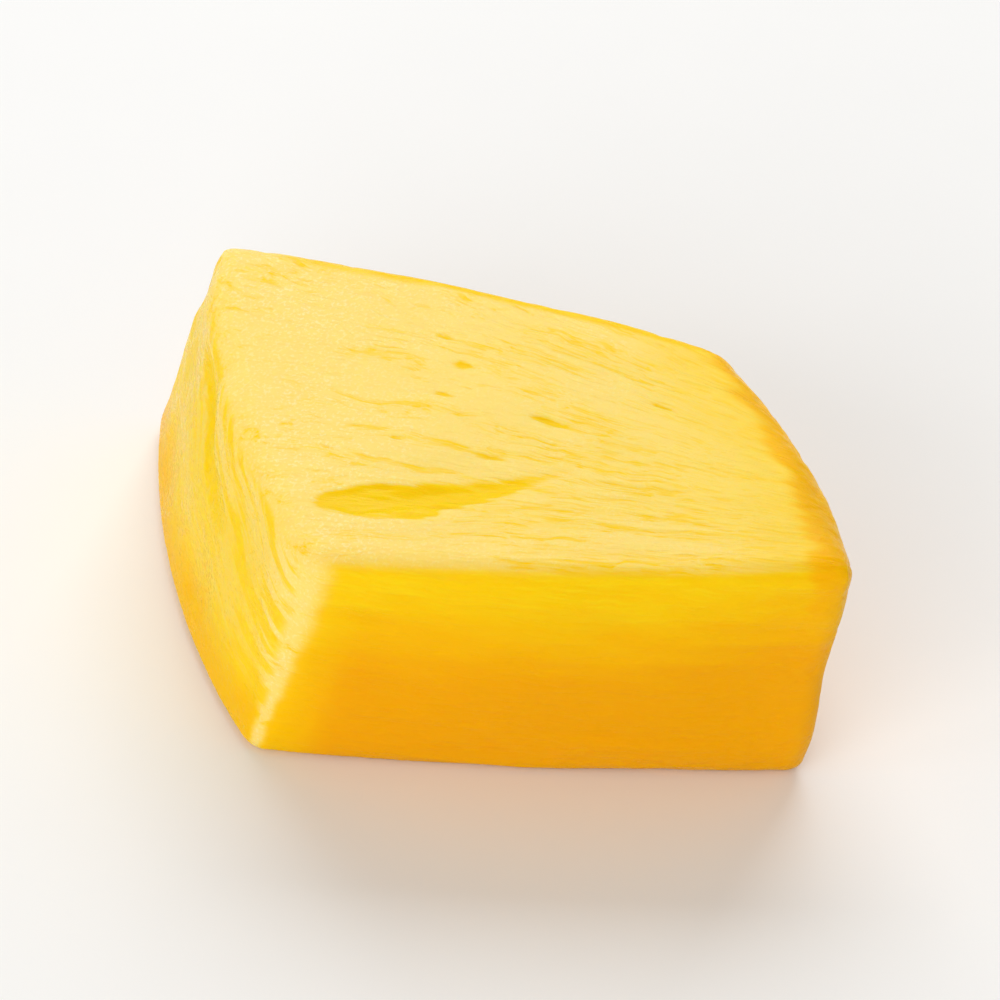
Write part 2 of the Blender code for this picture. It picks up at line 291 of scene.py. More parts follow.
class ChunkFlesh(bpy.types.PropertyGroup):
    """The unevenness of the cuts and the relief of the fibres."""

    axis: FloatVectorProperty(
        name="Core axis",
        description="Where the fruit's own upright axis stands, to which the long slit points",
        default=(32.2 * MM, -2.2 * MM),
        size=2,
        unit="LENGTH",
    )
    fibre_axis: FloatVectorProperty(
        name="Fibre axis",
        description="Where the upright axis stands from which the fibres of this piece fan out",
        default=(40.0 * MM, -19.0 * MM),
        size=2,
        unit="LENGTH",
    )
    rise: angle("Rise", "How much the fibres rise on their way out", 4.0)
    measured_at: length("Measured at", "Distance from the fibre axis where widths are measured", 42.0)
    level_from: length("Level from", "Height where the unevenness of the sides begins", 0.5)
    level_to: length("Level to", "Height where the unevenness of the sides is full", 3.0)
    swell_depth: length("Swell depth", "How far the cuts swell and sink", 0.22)
    swell_length: length("Swell length", "Distance over which the cuts swell and sink", 8.5)
    torn_depth: length("Torn depth", "How rough the core side is", 0.12)
    torn_length: length("Torn length", "Distance over which the core side is rough", 4.5)
    bundle_depth: length("Bundle depth", "How proud a bundle of fibres stands", 0.12)
    bundle_length: length("Bundle length", "How far a bundle keeps its course", 16.0)
    bundle_width: length("Bundle width", "Width of a bundle", 1.5)
    fibre_depth: length("Fibre depth", "How proud a single fibre stands", 0.07)
    fibre_length: length("Fibre length", "How far a fibre keeps its course", 5.5)
    fibre_width: length("Fibre width", "Width of a fibre", 0.42)
    stagger: plain_number("Stagger", "How far neighbouring fibres are shifted, in lengths of a fibre", 7.0)
    stagger_width: length("Stagger width", "Distance across the fibres over which the shift changes", 1.6)
    stagger_length: length("Stagger length", "Distance along the fibres over which the shift changes", 60.0)
    meander: length("Meander", "How far the fibres wander sideways", 0.5)
    meander_length: length("Meander length", "Distance over which the fibres wander", 7.0)
    pit_depth: length("Pit depth", "Depth of the pits between the fibre ends", 0.06)
    pit_width: length("Pit width", "Width of the pits between the fibre ends", 0.9)
    furrow_depth: length("Furrow depth", "Depth of the furrows in the face underneath", 0.10)
    furrow_width: length("Furrow width", "Width of a furrow", 1.1)
    furrow_length: length("Furrow length", "How far a furrow keeps its course", 9.0)
    ragged: share("Ragged", "How far the rim of a slit wanders, for each unit of its width", 0.30)
    ragged_width: length("Ragged width", "Distance across the fibres over which the rim wanders", 0.5)
    ragged_length: length("Ragged length", "Distance along the fibres over which the rim wanders", 2.6)
    lip: length("Lip", "How far the rim of a slit is raised", 0.02)
    full_colour: length("Full colour", "Depth at which a slit has its full colour", 0.22)
    blotch_width: length("Blotch width", "Width of the uneven places where the looks change", 1.2)
    blotch_length: length("Blotch length", "Length of the uneven places where the looks change", 6.0)
    peel_slit_from: FloatVectorProperty(
        name="Peel slit from",
        description="One end of the slit in the peel side, along Y and upwards",
        default=(8.5 * MM, 14.8 * MM),
        size=2,
        unit="LENGTH",
    )
    peel_slit_to: FloatVectorProperty(
        name="Peel slit to",
        description="The other end of the slit in the peel side, along Y and upwards",
        default=(-5.8 * MM, 10.0 * MM),
        size=2,
        unit="LENGTH",
    )
    peel_slit_width: length("Peel slit width", "Width of the slit in the peel side", 1.9)
    peel_slit_depth: length("Peel slit depth", "Depth of the slit in the peel side", 0.35)
    eye_spacing: FloatVectorProperty(
        name="Eye spacing",
        description="Distance between the hollows of the trimmed eyes, along Y and upwards",
        default=(11.0 * MM, 9.0 * MM),
        size=2,
        unit="LENGTH",
    )
    eye_centre: FloatVectorProperty(
        name="Eye centre",
        description="The middle of one trimmed eye, along Y and upwards",
        default=(-2.2 * MM, 4.4 * MM),
        size=2,
        unit="LENGTH",
    )
    eye_radius: length("Eye radius", "Radius of a trimmed eye's hollow", 2.8)
    eye_depth: length("Eye depth", "Depth of a trimmed eye's hollow", 0.35)


class ChunkMesh(bpy.types.PropertyGroup):
    """How finely the chunk is modelled."""

    rows: IntVectorProperty(
        name="Rows",
        description="Rows of faces along the fibres, across them and upwards",
        default=(104, 184, 84),
        size=3,
    )
    crowding: FloatVectorProperty(
        name="Crowding",
        description="How far the rows of each direction crowd towards the edges",
        default=(0.45, 0.15, 0.25),
        size=3,
    )


class FleshLooks(bpy.types.PropertyGroup):
    """Colours and finish of the flesh, with those of its painted highlight and painted shade."""

    flesh: colour("Flesh", "Juicy flesh between the fibres", (0.99, 0.61, 0.002))
    thread: colour("Thread", "Fibres in the juicy flesh", (0.99, 0.67, 0.006))
    # Pale cut fibre, together with the painted highlight of the surfaces that face up.
    pale: colour("Pale", "Freshly cut flesh", (0.985, 0.705, 0.175))
    # Pale flecks that are painted glints.
    fleck: colour("Fleck", "Dry cells in the pale flesh", (0.99, 0.77, 0.30))
    core: colour("Core", "Dense flesh near the core", (0.99, 0.70, 0.12))
    # Painted shade, half way down the sides.
    painted_half_shade: colour("Deep", "Juicy flesh half way down the sides", (0.98, 0.49, 0.001))
    slit: colour("Slit", "Flesh inside the slits", (0.99, 0.62, 0.003))
    # Deeper painted shade, near the foot.
    painted_deep_shade: colour("Soaked", "Flesh near the foot, soaked with juice", (0.93, 0.41, 0.001))
    row_slant: angle("Row slant", "Slant of the rows of fruitlets in the peel side", 24.0)
    roughness_low: share("Lowest roughness", "Roughness where the juice stands", 0.16)
    roughness_high: share("Highest roughness", "Roughness of the driest flesh", 0.5)


class StageLooks(bpy.types.PropertyGroup):
    """Floor, lights and camera."""

    floor: colour("Floor", "The pale floor", (0.90, 0.90, 0.89))
    floor_size: length("Floor size", "Side of the floor", 6000.0)
    surroundings: colour("Surroundings", "Light from all round", (1.0, 1.0, 1.0))
    surroundings_strength: plain_number("Surroundings strength", "Strength of the light from all round", 0.42)
    distance: length("Distance", "From the camera to the chunk", 680.0)
    elevation: angle("Elevation", "How steeply the camera looks down", 40.0)
    frame_width: length("Frame width", "Width that the camera shows at the chunk", 58.6)
    aim: FloatVectorProperty(
        name="Aim",
        description="The point in the middle of the picture",
        default=(0.17 * MM, 0.10 * MM, 8.12 * MM),
        unit="LENGTH",
    )


class ChunkSettings(bpy.types.PropertyGroup):
    """Everything that a user would change."""

    cuts: PointerProperty(type=ChunkCuts)
    edges: PointerProperty(type=ChunkEdges)
    flesh: PointerProperty(type=ChunkFlesh)
    mesh: PointerProperty(type=ChunkMesh)
    looks: PointerProperty(type=FleshLooks)
    stage: PointerProperty(type=StageLooks)


def smoothstep(low, high, values):
    """0 below low, 1 above high, and the curve 3t^2 - 2t^3 between them."""
    t = np.clip((values - low) / (high - low), 0.0, 1.0)
    return t * t * (3.0 - 2.0 * t)


def value_noise(places, seed):
    """A smooth random field from -1 to 1: random values on a whole-number lattice, blended in between."""
    table = np.random.default_rng(seed).uniform(-1.0, 1.0, (LATTICE,) * 3)
    cell = np.floor(places).astype(int)
    blend = places - cell
    blend = blend * blend * (3.0 - 2.0 * blend)
    total = np.zeros(len(places))
    for corner in itertools.product((0, 1), repeat=3):
        x, y, z = ((cell + corner) % LATTICE).T
        total += table[x, y, z] * np.where(corner, blend, 1.0 - blend).prod(axis=1)
    return total


def gradient_noise(places, seed):
    """A random field of even grain, about -1 to 1: a random slope at each point of a whole-number lattice.

    Each slope gives a value at the place, its dot product with the way from the lattice point, and the eight
    values round the place are blended by 6t^5 - 15t^4 + 10t^3 in each direction. GAIN brings them to 1.
    """
    table = np.random.default_rng(seed).normal(size=(LATTICE,) * 3 + (3,))
    table /= np.linalg.norm(table, axis=-1, keepdims=True)
    cell = np.floor(places).astype(int)
    offset = places - cell
    blend = offset**3 * (offset * (6.0 * offset - 15.0) + 10.0)
    total = np.zeros(len(places))
    for corner in itertools.product((0, 1), repeat=3):
        x, y, z = ((cell + corner) % LATTICE).T
        value = (table[x, y, z] * (offset - corner)).sum(axis=1)
        total += value * np.where(corner, blend, 1.0 - blend).prod(axis=1)
    return total * GAIN


def upright_cut(cuts, side):
    """(outward normal, offset) of one upright knife cut: a point p is on it where normal . p = offset."""
    distance, bearing, lean = (getattr(cuts, f"{side}_{what}") for what in ("distance", "bearing", "lean"))
    outward = np.array((math.cos(bearing), math.sin(bearing), 0.0))
    normal = outward * math.cos(lean) + np.array((0.0, 0.0, math.sin(lean)))
    return normal, normal @ (outward * distance + np.array((0.0, 0.0, cuts.height)))


def block_corners(cuts):
    """The eight corners where three cuts meet, indexed [peel or core][front or back][foot or top]."""
    level = ((np.array((0.0, 0.0, -1.0)), 0.0), (np.array((-cuts.top_rise, 0.0, 1.0)), cuts.height))
    corners = np.empty((2, 2, 2, 3))
    for i, j, k in itertools.product((0, 1), repeat=3):
        ends, sides = ("peel", "core")[i], ("front", "back")[j]
        planes = (upright_cut(cuts, ends), upright_cut(cuts, sides), level[k])
        corners[i, j, k] = np.linalg.solve([p[0] for p in planes], [p[1] for p in planes])
    return corners


def edge_radius(edges, block):
    """The rounding at each place of the block: softer on the peel side and along the top of the core side,
    crisper at the foot, and uneven."""
    radius = edges.radius + (edges.peel_radius - edges.radius) * smoothstep(*SIDE_BLEND, -block[:, 0])
    core_top = smoothstep(*SIDE_BLEND, block[:, 0]) * smoothstep(*TOP_BLEND, block[:, 2])
    radius += (edges.core_radius - edges.radius) * core_top * (1.0 - block[:, 1] ** 4)
    radius += (edges.foot_radius - edges.radius) * smoothstep(*SIDE_BLEND, -block[:, 2])
    return radius * (1.0 + edges.unevenness * value_noise(block * edges.waves, EDGE_SEED))


def rounded(edges, block):
    """Block places, each from -1 to 1, moved onto a box with rounded edges.

    A place is pulled back to a smaller box, and then pushed out from there by the edge radius.
    """
    half = np.array(edges.half_size)
    place = block * half
    radius = edge_radius(edges, block)[:, None]
    inner = np.clip(place, radius - half, half - radius)
    away = place - inner
    reach = np.linalg.norm(away, axis=1, keepdims=True)
    return (inner + away * radius / np.maximum(reach, 1e-9)) / half


def peel_bulge(cuts, across, chord):
    """How far the peel side's round, r^2 = x^2 + y^2, stands out from a straight cut of length chord."""
    half, radius = chord / 2, cuts.trimmed_radius
    return np.sqrt(radius**2 - (across * half) ** 2) - math.sqrt(radius**2 - half**2)


def smooth_chunk(settings, block):
    """The chunk without its relief: its eight corners blended in three directions, the peel side rounded by
    peel_bulge, and each cut but the foot swelled out by 1 - t^2 along it."""
    cuts = settings.cuts
    box = rounded(settings.edges, block)
    part = (box + 1.0) / 2
    corners = block_corners(cuts)
    place = np.zeros((len(block), 3))
    for i, j, k in itertools.product((0, 1), repeat=3):
        chosen = np.where((i, j, k), part, 1.0 - part).prod(axis=1)
        place += chosen[:, None] * corners[i, j, k]
    chord = np.linalg.norm(corners[0, 1, 1] - corners[0, 0, 1])
    outward, _ = upright_cut(cuts, "peel")
    place += (peel_bulge(cuts, box[:, 1], chord) * (1.0 - part[:, 0]))[:, None] * outward * (1, 1, 0)
    for side, bow, t, near in (
        ("front", cuts.front_bow, box[:, 0], 1.0 - part[:, 1]),
        ("back", cuts.back_bow, box[:, 0], part[:, 1]),
        ("core", cuts.core_bow, box[:, 1], part[:, 0]),
    ):
        outward, _ = upright_cut(cuts, side)
        place += (bow * (1.0 - t**2) * near)[:, None] * outward * (1, 1, 0)
    place[:, 2] += cuts.top_crown * (1.0 - box[:, 0] ** 2) * (1.0 - box[:, 1] ** 2) * part[:, 2]
    place[:, 1] -= cuts.front_crown * (1.0 - box[:, 0] ** 2) * (1.0 - box[:, 2] ** 2) * (1.0 - part[:, 1])
    return place


def seen_from(axis, place):
    """(bearing, out) of each place, seen from an upright axis: its direction, from straight towards the peel
    side, and its distance."""
    west, north = axis[0] - place[:, 0], place[:, 1] - axis[1]
    return np.arctan2(north, west), np.hypot(west, north)


def slit(axis, place, wander, one):
    """(hollow, rim) of a slit at each place.

    Seen from above it is a lens, sin(pi t^skew)^fullness of its length t, about a line that bows by
    sin(pi t). Across it falls off as exp(-|gap / half width|^steepness), and its rim is a narrow bell on
    either side.
    """
    bearing, out = seen_from(axis, place)
    middle, inner, outer, width, depth, bow = one
    t = np.clip((out / MM - inner) / (outer - inner), 0.0, 1.0)
    lens = np.sin(math.pi * t**SLIT_SKEW) ** SLIT_FULLNESS
    beside = (bearing - math.radians(middle)) * out + bow * MM * np.sin(math.pi * t)
    gap = np.abs(beside + wander * width * MM * lens)
    half = width * MM / 2 * (1.0 - SLIT_TAPER * (1.0 - lens))
    hollow = depth * MM * lens * np.exp(-((gap / half) ** SLIT_STEEPNESS))
    rim = lens * np.exp(-(((gap - LIP_AT * half) / (LIP_REACH * half)) ** 2))
    return hollow, rim


def foot_slits():
    """The slits in the face underneath, laid out like LONG_SLIT."""
    draw = np.random.default_rng(FOOT_SLIT_SEED)
    found = []
    for _ in range(FOOT_SLITS):
        bearing, inner, span, width, depth = (draw.uniform(*limits) for limits in FOOT_SLIT_LIMITS)
        found.append((bearing, inner, inner + span, width, depth, FOOT_SLIT_BOW))
    return found


def peel_relief(flesh, place, wander):
    """(slit, eyes): how deep the peel side is hollowed by one slanting slit, sin(pi t) of its length t, and
    by round hollows in a staggered pattern."""
    start, run = np.array(flesh.peel_slit_from), np.subtract(flesh.peel_slit_to, flesh.peel_slit_from)
    t = np.clip((place[:, 1:] - start) @ run / (run @ run), 0.0, 1.0)
    gap = np.linalg.norm(place[:, 1:] - start - t[:, None] * run, axis=1) + wander * flesh.peel_slit_width
    half = flesh.peel_slit_width / 2
    groove = flesh.peel_slit_depth * np.sin(math.pi * t) * np.exp(-np.abs(gap / half) ** SLIT_STEEPNESS)
    row = (place[:, 2] - flesh.eye_centre[1]) / flesh.eye_spacing[1]
    column = (place[:, 1] - flesh.eye_centre[0]) / flesh.eye_spacing[0] + (np.round(row) % 2) / 2
    beside = (column - np.round(column)) * flesh.eye_spacing[0]
    above = (row - np.round(row)) * flesh.eye_spacing[1]
    eyes = flesh.eye_depth * np.exp(-((np.hypot(beside, above) / flesh.eye_radius) ** 4))
    return groove, eyes


def fibre_places(flesh, place):
    """(across, up, out) of each place: the arc across the fibres at the distance where widths are measured,
    the height above the fibre that starts level with the foot, and the distance from the fibre axis."""
    bearing, out = seen_from(flesh.fibre_axis, place)
    return np.column_stack((bearing * flesh.measured_at, place[:, 2] - out * math.tan(flesh.rise), out))


def stretched(fibre_place, width, span, shift=0.0):
    """Places for a random field stretched along the fibres: width across and upwards, span along them."""
    places = fibre_place / (width, width, span)
    places[:, 2] += shift
    return places


def relief(settings, block, place, normals):
    """The height of each place above the smooth chunk, and its looks in the order of ATTRIBUTES.

    Above the foot the cuts swell and sink, the core side is torn, and bundles and fibres stand proud, as
    ridges where a stretched random field passes 0. In the face underneath there are only slits and furrows.
    raised is how far a fibre stands proud and hollow how deep in a slit the place is, each from 0 to 1.
    """
    flesh, edges = settings.flesh, settings.edges
    fibre_place = fibre_places(flesh, place)
    above_foot = smoothstep(flesh.level_from, flesh.level_to, place[:, 2])
    on_top = smoothstep(*TOP_REACH, block[:, 2])
    below = smoothstep(*FOOT_REACH, -block[:, 2])
    on_peel = smoothstep(*PEEL_REACH, -block[:, 0])
    on_core = smoothstep(*CORE_REACH, block[:, 0])
    lengthwise = 1.0 - smoothstep(*ENDS_REACH, np.abs(block[:, 0]))

    large = flesh.swell_depth * value_noise(place / flesh.swell_length, SWELL_SEED)
    large += flesh.torn_depth * on_core * value_noise(place / flesh.torn_length, TORN_SEED)
    course = stretched(fibre_place, flesh.bundle_width, flesh.bundle_length)
    bundles = 0.5 - np.abs(value_noise(course, BUNDLE_SEED))
    large += flesh.bundle_depth * bundles * (END_BUNDLES + (1.0 - END_BUNDLES) * lengthwise)
    course = stretched(fibre_place, flesh.ragged_width, flesh.ragged_length)
    wander = flesh.ragged * gradient_noise(course, RAGGED_SEED)
    groove, eyes = peel_relief(flesh, place, wander)
    large -= on_peel * (groove + eyes)

    fibre_place[:, 0] += flesh.meander * gradient_noise(place / flesh.meander_length, MEANDER_SEED)
    course = stretched(fibre_place, flesh.stagger_width, flesh.stagger_length)
    stagger = flesh.stagger * gradient_noise(course, STAGGER_SEED)
    course = stretched(fibre_place, flesh.fibre_width, flesh.fibre_length, stagger)
    fibres = 0.5 - np.abs(gradient_noise(course, FIBRE_SEED))
    pits = smoothstep(*PIT_RANGE, gradient_noise(place / flesh.pit_width, PIT_SEED))
    fine = flesh.fibre_depth * fibres * lengthwise - flesh.pit_depth * on_core * pits

    second_nearest = np.sort(np.abs(block), axis=1)[:, 1]
    nicks = smoothstep(*NICK_RANGE, gradient_noise(place / edges.nick_length, NICK_SEED))
    fine -= edges.nick_depth * smoothstep(*EDGE_REACH, second_nearest) * nicks

    height = above_foot * (large + fine)
    course = stretched(fibre_place, flesh.furrow_width, flesh.furrow_length, stagger)
    height -= below * flesh.furrow_depth * np.abs(gradient_noise(course, FURROW_SEED))

    hollow = on_peel * groove
    slits = [(on_top, flesh.axis, LONG_SLIT)]
    slits += [(on_top, flesh.fibre_axis, one) for one in SHORT_SLITS]
    slits += [(below, flesh.axis, one) for one in foot_slits()]
    for where, axis, one in slits:
        depth, rim = slit(axis, place, wander, one)
        height += where * (flesh.lip * rim * above_foot - depth)
        hollow += where * depth
    hollow = np.clip(hollow / flesh.full_colour, 0.0, 1.0)
    raised = np.clip(0.5 + (0.7 * bundles + 0.5 * fibres) * lengthwise, 0.0, 1.0)

    uneven = gradient_noise(stretched(fibre_place, flesh.blotch_width, flesh.blotch_length), MEANDER_SEED)
    cut_and_lit, peel, painted_shade = lit_and_shaded(block, place[:, 2], normals, uneven)
    # Painted shade in the slit of the peel side, deeper with its depth.
    painted_shade = np.maximum(painted_shade, 0.8 * on_peel * np.clip(groove / flesh.peel_slit_depth, 0.0, 1.0))
    return height, cut_and_lit, peel, raised, hollow, painted_shade


def deeper_strips(block, uneven):
    """(rim, back, fade), each from 0 to 1: the strips of the top painted deeper along the core side, as
    painted shade where it turns away from the light, and along the back cut, and the slow fade of the
    paleness towards the core side."""
    along, across = block[:, 0], block[:, 1]
    rim = smoothstep(0.0, RIM_FADE, along - RIM_START - RIM_SLANT * across + 0.05 * uneven)
    width = BACK_WIDTH + BACK_WIDENING * smoothstep(*BACK_WIDENS, along)
    back = smoothstep(0.0, BACK_FADE, across - 1.0 + width + 0.03 * uneven) * smoothstep(*BACK_BEGINS, along)
    return rim, back, NEAR_RIM_FADE * smoothstep(*NEAR_RIM, along + 0.04 * uneven)


def painted_edge_highlights(block, height, uneven):
    """How much painted highlight the upright edges of the peel side have, from 0 to 1: less the further a
    place is from them, and over a wider stretch higher up."""
    upper = smoothstep(0.0, FULL_HEIGHT, height)
    near_end = (1.0 + block[:, 0]) / (HIGHLIGHT_ALONG[0] + HIGHLIGHT_ALONG[1] * upper + 0.02 * uneven)
    near_side = (1.0 - np.abs(block[:, 1])) / (HIGHLIGHT_ACROSS[0] + HIGHLIGHT_ACROSS[1] * upper)
    return (1.0 - smoothstep(0.3, 1.0, near_end)) * (1.0 - smoothstep(0.2, 1.0, near_side))


def shade_by_height(block, height, peel, uneven):
    """How much painted shade each place has from its height: more the lower it is, less on the front cut next
    to the peel side, and some more on the core side."""
    down = smoothstep(*SHADE_ON_CUTS, height + RAGGED_CUTS * uneven) * (1.0 - peel)
    lighter = smoothstep(*LESS_SHADE_ALONG, 1.0 + block[:, 0]) * smoothstep(*LESS_SHADE_FRONT, -block[:, 1])
    down *= 1.0 - LESS_SHADE_BY * lighter
    down += PEEL_SHADE * peel * smoothstep(*SHADE_ON_PEEL, height + RAGGED_PEEL * uneven)
    return down + CORE_SHADE * smoothstep(0.2, 1.0, block[:, 0]) * smoothstep(1.0, 0.9, block[:, 2])


def lit_and_shaded(block, height, normals, uneven):
    """(pale, peel, shade), each from 0 to 1: how pale the flesh is, from freshly cut fibre and from a painted
    highlight where it faces up, along the upright edges of the peel side and higher on the peel side, whether
    it is on the peel side, and how much painted shade it has. uneven is a random field that makes their
    limits ragged."""
    # Paler where the surface faces up: the pale of cut fibre and a painted highlight of the light above.
    cut_and_lit = smoothstep(*CUT_AND_LIT_TOP, normals[:, 2] + 0.1 * uneven)
    cut_and_lit += FOOT_PALENESS * smoothstep(*FRESH_FOOT, -normals[:, 2])
    # Less paleness and more painted shade in the strip along the core side, and less paleness in the strip
    # along the back cut.
    rim, back, fade = deeper_strips(block, uneven)
    cut_and_lit *= (1.0 - 0.95 * rim) * (1.0 - 0.9 * back) * (1.0 - fade)
    # Painted highlight along the upright edges of the peel side, with less painted shade under it.
    edge_highlight = painted_edge_highlights(block, height, uneven)
    peel = smoothstep(*FACING_PEEL, -normals[:, 0])
    # The peel side painted paler higher up: a painted highlight.
    peel_lit = peel * smoothstep(*PEEL_LIT_FROM, height + RAGGED_PEEL * uneven)
    peel_lit *= PEEL_LIT + PEEL_LIT_FURTHER * smoothstep(*PEEL_LIT_MORE, height)
    # Painted shade: deeper lower down and along the core side, and also in the strip along the back cut.
    painted_shade = np.maximum(shade_by_height(block, height, peel, uneven), np.maximum(0.7 * rim, 0.25 * back))
    painted_shade = np.clip(painted_shade, 0.0, 1.0) * (1.0 - 0.85 * edge_highlight) * (1.0 - cut_and_lit)
    return 1.0 - (1.0 - cut_and_lit) * (1.0 - edge_highlight) * (1.0 - peel_lit), peel, painted_shade


def face_patch(axis, side, rows):
    """One face of the block as a grid of two parameters: its places as whole numbers of rows, and its
    quads."""
    first, second = (axis + 1) % 3, (axis + 2) % 3
    u, v = np.meshgrid(np.arange(rows[first] + 1), np.arange(rows[second] + 1), indexing="ij")
    spots = np.empty(u.shape + (3,), dtype=int)
    spots[..., axis] = side * rows[axis]
    spots[..., first] = u
    spots[..., second] = v
    index = np.arange(u.size).reshape(u.shape)
    quads = np.stack((index[:-1, :-1], index[1:, :-1], index[1:, 1:], index[:-1, 1:]), axis=-1).reshape(-1, 4)
    return spots.reshape(-1, 3), quads if side else quads[:, ::-1]


def block_surface(rows, crowding):
    """The six faces of a block from -1 to 1, joined where they meet: (places, quads).

    Even rows t are moved closer together at both ends, to (1 - c) t + c sin(pi t / 2).
    """
    spots, quads, start = [], [], 0
    for axis, side in itertools.product(range(3), (0, 1)):
        patch_spots, patch_quads = face_patch(axis, side, rows)
        spots.append(patch_spots)
        quads.append(patch_quads + start)
        start += len(patch_spots)
    joined, index = np.unique(np.concatenate(spots), axis=0, return_inverse=True)
    t = 2.0 * joined / np.array(rows) - 1.0
    crowding = np.array(crowding)
    return (1.0 - crowding) * t + crowding * np.sin(math.pi / 2 * t), index.ravel()[np.concatenate(quads)]


def vertex_normals(places, quads):
    """The unit normal at each vertex: the sum of the crossed diagonals of the quads round it."""
    a, b, c, d = (places[quads[:, k]] for k in range(4))
    facing = np.cross(c - a, d - b)
    total = np.zeros_like(places)
    for k in range(4):
        np.add.at(total, quads[:, k], facing)
    return total / np.linalg.norm(total, axis=1, keepdims=True)


def mesh_object(name, places, quads, attributes, material):
    """An object at the origin whose mesh has the given places, quads and one value of each attribute for
    each vertex."""
    data = bpy.data.meshes.new(name)
    data.from_pydata(places, [], quads)
    for key, values in attributes.items():
        data.attributes.new(key, "FLOAT", "POINT").data.foreach_set("value", values)
    data.shade_smooth()
    data.materials.append(material)
    made = bpy.data.objects.new(name, data)
    bpy.context.scene.collection.objects.link(made)
    return made


def chunk_surface(settings):
    """(places, quads, looks) of the finished chunk: looks names the values of the shader's attributes."""
    block, quads = block_surface(settings.mesh.rows, settings.mesh.crowding)
    smooth = smooth_chunk(settings, block)
    normals = vertex_normals(smooth, quads)
    height, *looks = relief(settings, block, smooth, normals)
    places = smooth + height[:, None] * normals
    places[:, 2] = np.maximum(places[:, 2], 0.0)
    middle = (places.min(axis=0) + places.max(axis=0)) / 2
    return places - middle * (1.0, 1.0, 0.0), quads, dict(zip(ATTRIBUTES, looks))


def node(tree, kind, inputs=None, **settings):
    """Adds a node to a tree. inputs maps a socket's name or number to a value or to another node's output."""
    made = tree.nodes.new(kind)
    for key, value in settings.items():
        setattr(made, key, value)
    for key, value in (inputs or {}).items():
        if isinstance(value, bpy.types.NodeSocket):
            tree.links.new(value, made.inputs[key])
        else:
            made.inputs[key].default_value = value
    return made


def math_node(tree, operation, *values, clamp=False):
    """The result of one calculation."""
    made = node(tree, "ShaderNodeMath", dict(enumerate(values)), operation=operation, use_clamp=clamp)
    return made.outputs[0]


def vector_node(tree, operation, *values):
    """The result of one calculation with vectors."""
    return node(tree, "ShaderNodeVectorMath", dict(enumerate(values)), operation=operation).outputs["Vector"]


def weighed(tree, *parts):
    """The sum of several values, each multiplied by its weight."""
    total = 0.0
    for value, weight in parts:
        total = math_node(tree, "MULTIPLY_ADD", value, weight, total)
    return total


def remap(tree, value, low, high, to_low=0.0, to_high=1.0):
    """A value moved smoothly from the range low to high to another range, and held at its ends."""
    made = node(
        tree,
        "ShaderNodeMapRange",
        {"Value": value, "From Min": low, "From Max": high, "To Min": to_low, "To Max": to_high},
        interpolation_type="SMOOTHSTEP",
    )
    return made.outputs["Result"]


def mix(tree, factor, low, high):
    """A colour between two others."""
    made = node(tree, "ShaderNodeMix", data_type="RGBA")
    for key, value in (("Factor_Float", factor), ("A_Color", low), ("B_Color", high)):
        socket = next(s for s in made.inputs if s.identifier == key)
        if isinstance(value, bpy.types.NodeSocket):
            tree.links.new(value, socket)
        else:
            socket.default_value = value if key == "Factor_Float" else (*value, 1.0)
    return next(s for s in made.outputs if s.identifier == "Result_Color")


def around(tree, place, axis):
    """(bearing, out, height) of a place, seen from an upright axis as in seen_from."""
    shifted = vector_node(tree, "SUBTRACT", place, (*axis, 0.0))
    parts = node(tree, "ShaderNodeSeparateXYZ", {0: shifted}).outputs
    level = node(tree, "ShaderNodeCombineXYZ", {0: parts["X"], 1: parts["Y"]}).outputs[0]
    out = node(tree, "ShaderNodeVectorMath", {0: level}, operation="LENGTH").outputs["Value"]
    bearing = math_node(tree, "ARCTAN2", parts["Y"], math_node(tree, "MULTIPLY", parts["X"], -1.0))
    return bearing, out, parts["Z"]


def fibre_space(tree, flesh, place):
    """The object's coordinates turned into (across, up, out).

    across = the bearing from the fibre axis times the distance where widths are measured, out = the distance
    from that axis, and up = the height less out times the tangent of the fibres' rise. A slow noise makes
    them wander.
    """
    bearing, out, height = around(tree, place, flesh.fibre_axis)
    across = math_node(tree, "MULTIPLY", bearing, flesh.measured_at)
    up = math_node(tree, "SUBTRACT", height, math_node(tree, "MULTIPLY", out, math.tan(flesh.rise)))
    space = node(tree, "ShaderNodeCombineXYZ", {0: across, 1: up, 2: out}).outputs[0]
    size, detail = WANDERING
    wander = node(tree, "ShaderNodeTexNoise", {"Vector": place, "Scale": 1.0 / size, "Detail": detail})
    moved = vector_node(tree, "MULTIPLY", wander.outputs["Color"], (WANDER_REACH, WANDER_REACH, 0.0))
    return vector_node(tree, "ADD", space, moved)


def fibre_noise(tree, space, width, span, detail):
    """Noise stretched along the fibres: width across and upwards, span along them."""
    scaled = vector_node(tree, "MULTIPLY", space, (1.0 / width, 1.0 / width, 1.0 / span))
    return node(tree, "ShaderNodeTexNoise", {"Vector": scaled, "Scale": 1.0, "Detail": detail}).outputs[0]


def noise(tree, place, size, detail):
    """Noise of even grain."""
    made = node(tree, "ShaderNodeTexNoise", {"Vector": place, "Scale": 1.0 / size, "Detail": detail})
    return made.outputs[0]


